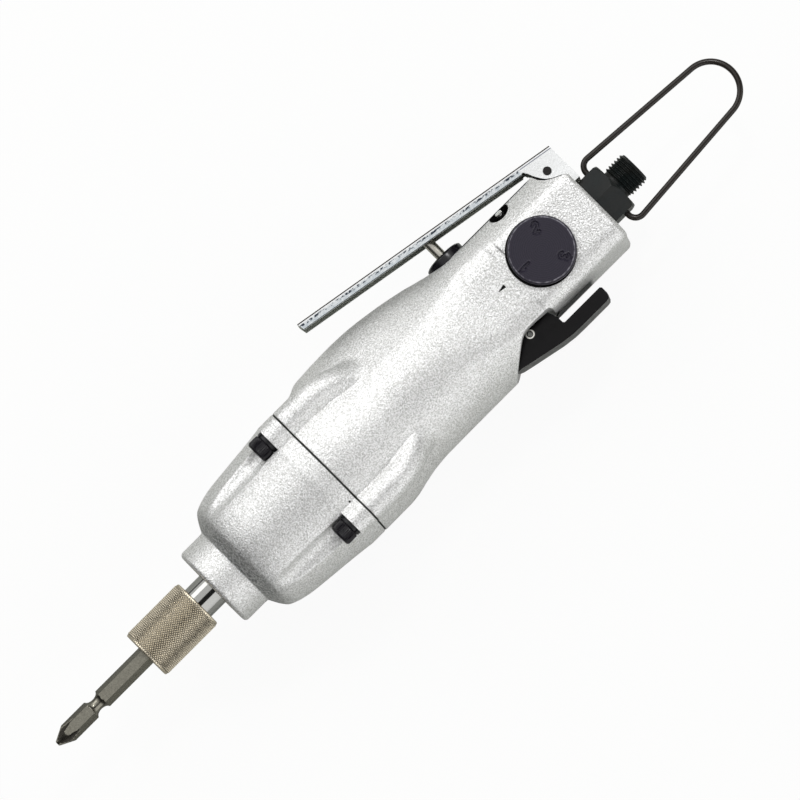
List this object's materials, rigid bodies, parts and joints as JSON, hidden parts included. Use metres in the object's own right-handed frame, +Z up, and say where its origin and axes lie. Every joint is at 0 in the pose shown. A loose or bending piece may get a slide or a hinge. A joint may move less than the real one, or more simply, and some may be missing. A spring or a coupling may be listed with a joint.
{
  "type": "pneumatic impact screwdriver",
  "caption": "Inline air screwdriver: cast housing with vane motor and hammers, quick-change chuck and bit, throttle lever, regulator dial, reverse lever, threaded air inlet and wire hanger.",
  "frame": {"origin": "centre of the nose collar's front face, on the tool's axis", "axes": "+X along the tool from the bit towards the air inlet, +Y towards the throttle lever, +Z up towards the regulator dial, with the tool lying on its side"},
  "size_m": [0.3333, 0.072, 0.0564],
  "materials": {
    "front_case": "blasted cast aluminium, satin",
    "rear_housing": "blasted cast aluminium, satin",
    "case_gasket": "dark compressed fibre gasket",
    "case_screws": "black oxide",
    "spring_washers": "black oxide",
    "nose_bush": "machined bronze",
    "front_end_plate": "ground",
    "rear_end_plate": "ground",
    "cylinder_liner": "honed",
    "liner_dowel": "ground",
    "front_bearing_outer": "ground bearing steel",
    "front_bearing_balls": "polished bearing steel",
    "front_bearing_inner": "ground bearing steel",
    "rear_bearing_outer": "ground bearing steel",
    "rear_bearing_balls": "polished bearing steel",
    "rear_bearing_inner": "ground bearing steel",
    "rotor": "ground steel",
    "vanes": "phenolic laminate",
    "hammer_cage": "hardened steel",
    "hammer_pins": "ground steel",
    "hammer_front": "hardened steel",
    "hammer_rear": "hardened steel",
    "anvil": "bright ground steel",
    "lock_ball": "polished ball",
    "sleeve_ring": "spring steel",
    "sleeve_spring": "spring steel",
    "chuck_sleeve": "champagne nickel, fine diamond knurl",
    "screwdriver_bit": "dark grey-brown hardened steel",
    "valve_bush": "black dome",
    "stem_o_ring": "nitrile",
    "valve_seat": "white seat ring",
    "valve_spring": "spring steel",
    "valve_stem": "turned steel",
    "throttle_lever": "bright zinc plate",
    "lever_pin": "black oxide pin",
    "regulator_dial": "violet-black satin, turned face",
    "dial_o_ring": "nitrile",
    "detent_ball": "polished ball",
    "detent_spring": "spring steel",
    "reverse_lever": "glossy black moulding",
    "reverse_valve": "turned steel",
    "roll_pin": "bright roll pin",
    "inlet_bush": "black oxide, faint brown",
    "inlet_screen": "fine strainer",
    "inlet_o_ring": "nitrile",
    "hanger_bail": "blackened bronze-brown wire",
    "passage_plug": "bright plug",
    "exhaust_screen": "dark slotted plate"
  },
  "bodies": {
    "housing": {"front_case": "front_case", "rear_housing": "rear_housing", "case_gasket": "case_gasket", "case_screws": "case_screws", "spring_washers": "spring_washers", "nose_bush": "nose_bush", "front_end_plate": "front_end_plate", "rear_end_plate": "rear_end_plate", "cylinder_liner": "cylinder_liner", "liner_dowel": "liner_dowel", "front_bearing_outer": "front_bearing_outer", "rear_bearing_outer": "rear_bearing_outer", "valve_bush": "valve_bush", "stem_o_ring": "stem_o_ring", "valve_seat": "valve_seat", "valve_spring": "valve_spring", "lever_pin": "lever_pin", "detent_ball": "detent_ball", "detent_spring": "detent_spring", "inlet_bush": "inlet_bush", "inlet_screen": "inlet_screen", "inlet_o_ring": "inlet_o_ring", "passage_plug": "passage_plug", "exhaust_screen": "exhaust_screen"},
    "rotor": {"rotor": "rotor", "vanes": "vanes", "front_bearing_inner": "front_bearing_inner", "rear_bearing_inner": "rear_bearing_inner"},
    "front_balls": {"front_bearing_balls": "front_bearing_balls"},
    "rear_balls": {"rear_bearing_balls": "rear_bearing_balls"},
    "hammer_cage": {"hammer_cage": "hammer_cage", "hammer_pins": "hammer_pins"},
    "front_hammer": {"hammer_front": "hammer_front"},
    "rear_hammer": {"hammer_rear": "hammer_rear"},
    "anvil": {"anvil": "anvil", "lock_ball": "lock_ball", "sleeve_ring": "sleeve_ring", "sleeve_spring": "sleeve_spring"},
    "sleeve": {"chuck_sleeve": "chuck_sleeve"},
    "bit": {"screwdriver_bit": "screwdriver_bit"},
    "throttle_lever": {"throttle_lever": "throttle_lever"},
    "valve_stem": {"valve_stem": "valve_stem"},
    "dial": {"regulator_dial": "regulator_dial", "dial_o_ring": "dial_o_ring"},
    "reverse": {"reverse_lever": "reverse_lever", "reverse_valve": "reverse_valve", "roll_pin": "roll_pin"},
    "hanger": {"hanger_bail": "hanger_bail"}
  },
  "joints": [
    {"name": "rotor_spin", "type": "hinge", "parent": "housing", "child": "rotor", "pos_m": [0.09, 0, 0], "axis": [1, 0, 0], "continuous": true},
    {"name": "front_balls_spin", "type": "hinge", "parent": "housing", "child": "front_balls", "pos_m": [0.061, 0, 0], "axis": [1, 0, 0], "continuous": true},
    {"name": "rear_balls_spin", "type": "hinge", "parent": "housing", "child": "rear_balls", "pos_m": [0.111, 0, 0], "axis": [1, 0, 0], "continuous": true},
    {"name": "cage_spin", "type": "hinge", "parent": "housing", "child": "hammer_cage", "pos_m": [0.04, 0, 0], "axis": [1, 0, 0], "continuous": true},
    {"name": "anvil_spin", "type": "hinge", "parent": "housing", "child": "anvil", "pos_m": [0, 0, 0], "axis": [1, 0, 0], "continuous": true},
    {"name": "front_hammer_rock", "type": "hinge", "parent": "hammer_cage", "child": "front_hammer", "pos_m": [0.031, 0.0169, 0], "axis": [1, 0, 0], "range_deg": [-2.5, 2.5]},
    {"name": "rear_hammer_rock", "type": "hinge", "parent": "hammer_cage", "child": "rear_hammer", "pos_m": [0.042, -0.0169, 0], "axis": [1, 0, 0], "range_deg": [-2.5, 2.5]},
    {"name": "sleeve_slide", "type": "slide", "parent": "anvil", "child": "sleeve", "axis": [1, 0, 0], "range_m": [0, 0.004], "stiffness_N_per_m": 900, "springref_m": -0.003, "deforming": ["sleeve_spring"]},
    {"name": "bit_pull", "type": "slide", "parent": "anvil", "child": "bit", "axis": [-1, 0, 0], "range_m": [0, 0.034]},
    {"name": "lever_press", "type": "hinge", "parent": "housing", "child": "throttle_lever", "pos_m": [0.1852, 0.0199, 0], "axis": [0, 0, 1], "range_deg": [0, 4.5], "stiffness_Nm_per_rad": 2, "springref_deg": -6.88},
    {"name": "stem_slide", "type": "slide", "parent": "housing", "child": "valve_stem", "axis": [0, -1, 0], "range_m": [0, 0.004], "deforming": ["valve_spring"]},
    {"name": "dial_turn", "type": "hinge", "parent": "housing", "child": "dial", "pos_m": [0.1637, 0, 0.0212], "axis": [0, 0, 1], "continuous": true},
    {"name": "reverse_swing", "type": "hinge", "parent": "housing", "child": "reverse", "pos_m": [0.1406, -0.0172, 0], "axis": [0, 1, 0], "range_deg": [-25, 25]},
    {"name": "hanger_swing", "type": "hinge", "parent": "housing", "child": "hanger", "pos_m": [0.19461, 0, 0], "axis": [0, 1, 0], "range_deg": [-95, 95]}
  ],
  "couplings": [
    {"joint": "front_balls_spin", "follows": "rotor_spin", "ratio": 0.36944},
    {"joint": "rear_balls_spin", "follows": "rotor_spin", "ratio": 0.36944},
    {"joint": "cage_spin", "follows": "rotor_spin", "ratio": 1},
    {"joint": "anvil_spin", "follows": "rotor_spin", "ratio": 1},
    {"joint": "stem_slide", "follows": "lever_press", "m_per_rad": 0.0495}
  ]
}
